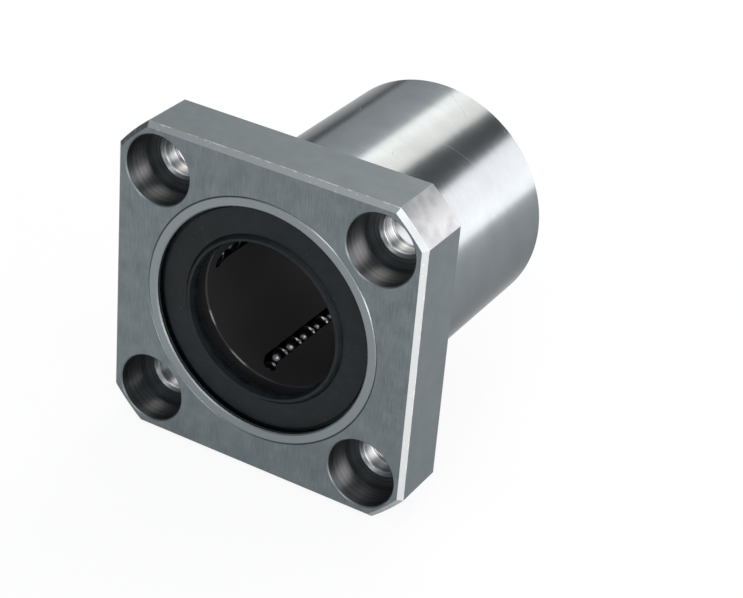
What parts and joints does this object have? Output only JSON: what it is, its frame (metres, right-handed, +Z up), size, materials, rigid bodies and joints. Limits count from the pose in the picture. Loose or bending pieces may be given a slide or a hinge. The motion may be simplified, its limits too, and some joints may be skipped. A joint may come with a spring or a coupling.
{
  "type": "square flanged linear bearing",
  "caption": "Square-flanged linear ball bearing: a plate with counterbored corner bolt holes on a steel sleeve whose caged recirculating balls guide a shaft between rubber wiper seals.",
  "frame": {"origin": "on the shaft axis, in the plane of the flange's rear seating face", "axes": "+Y along the shaft axis from the flange's seating face towards the sleeve's long free end; the counterbored front face looks towards -Y; +Z is up, square to one flat side of the flange; +X is right as seen from the front"},
  "size_m": [0.042, 0.042, 0.042],
  "materials": {
    "flange_steel": "satin, ground and plated",
    "sleeve_steel": "ground bright",
    "cage_resin": "matte",
    "seal_rubber": "matte",
    "core_steel": "satin",
    "ring_steel": "phosphated",
    "ball_steel": "polished"
  },
  "bodies": {
    "housing": {"flange": "flange_steel", "outer_sleeve": "sleeve_steel", "ball_cage": "cage_resin", "front_seal": "seal_rubber", "rear_seal": "seal_rubber", "front_seal_core": "core_steel", "rear_seal_core": "core_steel", "front_retaining_ring": "ring_steel", "rear_retaining_ring": "ring_steel"},
    "loaded_lane_1": {"loaded_balls_1": "ball_steel"},
    "return_lane_1": {"return_balls_1": "ball_steel"},
    "front_turn_1": {"front_turn_balls_1": "ball_steel"},
    "rear_turn_1": {"rear_turn_balls_1": "ball_steel"},
    "loaded_lane_2": {"loaded_balls_2": "ball_steel"},
    "return_lane_2": {"return_balls_2": "ball_steel"},
    "front_turn_2": {"front_turn_balls_2": "ball_steel"},
    "rear_turn_2": {"rear_turn_balls_2": "ball_steel"},
    "loaded_lane_3": {"loaded_balls_3": "ball_steel"},
    "return_lane_3": {"return_balls_3": "ball_steel"},
    "front_turn_3": {"front_turn_balls_3": "ball_steel"},
    "rear_turn_3": {"rear_turn_balls_3": "ball_steel"},
    "loaded_lane_4": {"loaded_balls_4": "ball_steel"},
    "return_lane_4": {"return_balls_4": "ball_steel"},
    "front_turn_4": {"front_turn_balls_4": "ball_steel"},
    "rear_turn_4": {"rear_turn_balls_4": "ball_steel"}
  },
  "joints": [
    {"name": "loaded_roll_1", "type": "slide", "parent": "housing", "child": "loaded_lane_1", "axis": [0, 1, 0], "range_m": [-0.0016, 0.0016]},
    {"name": "return_roll_1", "type": "slide", "parent": "housing", "child": "return_lane_1", "axis": [0, 1, 0], "range_m": [-0.0016, 0.0016]},
    {"name": "front_turn_roll_1", "type": "hinge", "parent": "housing", "child": "front_turn_1", "pos_m": [0.00091, 0.0002, 0.01207], "axis": [0.3877, 0, 0.9218], "range_deg": [-45, 45]},
    {"name": "rear_turn_roll_1", "type": "hinge", "parent": "housing", "child": "rear_turn_1", "pos_m": [0.00091, 0.0258, 0.01207], "axis": [0.3877, 0, 0.9218], "range_deg": [-45, 45]},
    {"name": "loaded_roll_2", "type": "slide", "parent": "housing", "child": "loaded_lane_2", "axis": [0, 1, 0], "range_m": [-0.0016, 0.0016]},
    {"name": "return_roll_2", "type": "slide", "parent": "housing", "child": "return_lane_2", "axis": [0, 1, 0], "range_m": [-0.0016, 0.0016]},
    {"name": "front_turn_roll_2", "type": "hinge", "parent": "housing", "child": "front_turn_2", "pos_m": [-0.01207, 0.0002, 0.00091], "axis": [-0.9218, 0, 0.3877], "range_deg": [-45, 45]},
    {"name": "rear_turn_roll_2", "type": "hinge", "parent": "housing", "child": "rear_turn_2", "pos_m": [-0.01207, 0.0258, 0.00091], "axis": [-0.9218, 0, 0.3877], "range_deg": [-45, 45]},
    {"name": "loaded_roll_3", "type": "slide", "parent": "housing", "child": "loaded_lane_3", "axis": [0, 1, 0], "range_m": [-0.0016, 0.0016]},
    {"name": "return_roll_3", "type": "slide", "parent": "housing", "child": "return_lane_3", "axis": [0, 1, 0], "range_m": [-0.0016, 0.0016]},
    {"name": "front_turn_roll_3", "type": "hinge", "parent": "housing", "child": "front_turn_3", "pos_m": [-0.00091, 0.0002, -0.01207], "axis": [-0.3877, 0, -0.9218], "range_deg": [-45, 45]},
    {"name": "rear_turn_roll_3", "type": "hinge", "parent": "housing", "child": "rear_turn_3", "pos_m": [-0.00091, 0.0258, -0.01207], "axis": [-0.3877, 0, -0.9218], "range_deg": [-45, 45]},
    {"name": "loaded_roll_4", "type": "slide", "parent": "housing", "child": "loaded_lane_4", "axis": [0, 1, 0], "range_m": [-0.0016, 0.0016]},
    {"name": "return_roll_4", "type": "slide", "parent": "housing", "child": "return_lane_4", "axis": [0, 1, 0], "range_m": [-0.0016, 0.0016]},
    {"name": "front_turn_roll_4", "type": "hinge", "parent": "housing", "child": "front_turn_4", "pos_m": [0.01207, 0.0002, -0.00091], "axis": [0.9218, 0, -0.3877], "range_deg": [-45, 45]},
    {"name": "rear_turn_roll_4", "type": "hinge", "parent": "housing", "child": "rear_turn_4", "pos_m": [0.01207, 0.0258, -0.00091], "axis": [0.9218, 0, -0.3877], "range_deg": [-45, 45]}
  ],
  "couplings": [
    {"joint": "return_roll_1", "follows": "loaded_roll_1", "ratio": -1},
    {"joint": "front_turn_roll_1", "follows": "loaded_roll_1", "rad_per_m": 490.87},
    {"joint": "rear_turn_roll_1", "follows": "loaded_roll_1", "rad_per_m": 490.87},
    {"joint": "return_roll_2", "follows": "loaded_roll_2", "ratio": -1},
    {"joint": "front_turn_roll_2", "follows": "loaded_roll_2", "rad_per_m": 490.87},
    {"joint": "rear_turn_roll_2", "follows": "loaded_roll_2", "rad_per_m": 490.87},
    {"joint": "return_roll_3", "follows": "loaded_roll_3", "ratio": -1},
    {"joint": "front_turn_roll_3", "follows": "loaded_roll_3", "rad_per_m": 490.87},
    {"joint": "rear_turn_roll_3", "follows": "loaded_roll_3", "rad_per_m": 490.87},
    {"joint": "return_roll_4", "follows": "loaded_roll_4", "ratio": -1},
    {"joint": "front_turn_roll_4", "follows": "loaded_roll_4", "rad_per_m": 490.87},
    {"joint": "rear_turn_roll_4", "follows": "loaded_roll_4", "rad_per_m": 490.87}
  ]
}
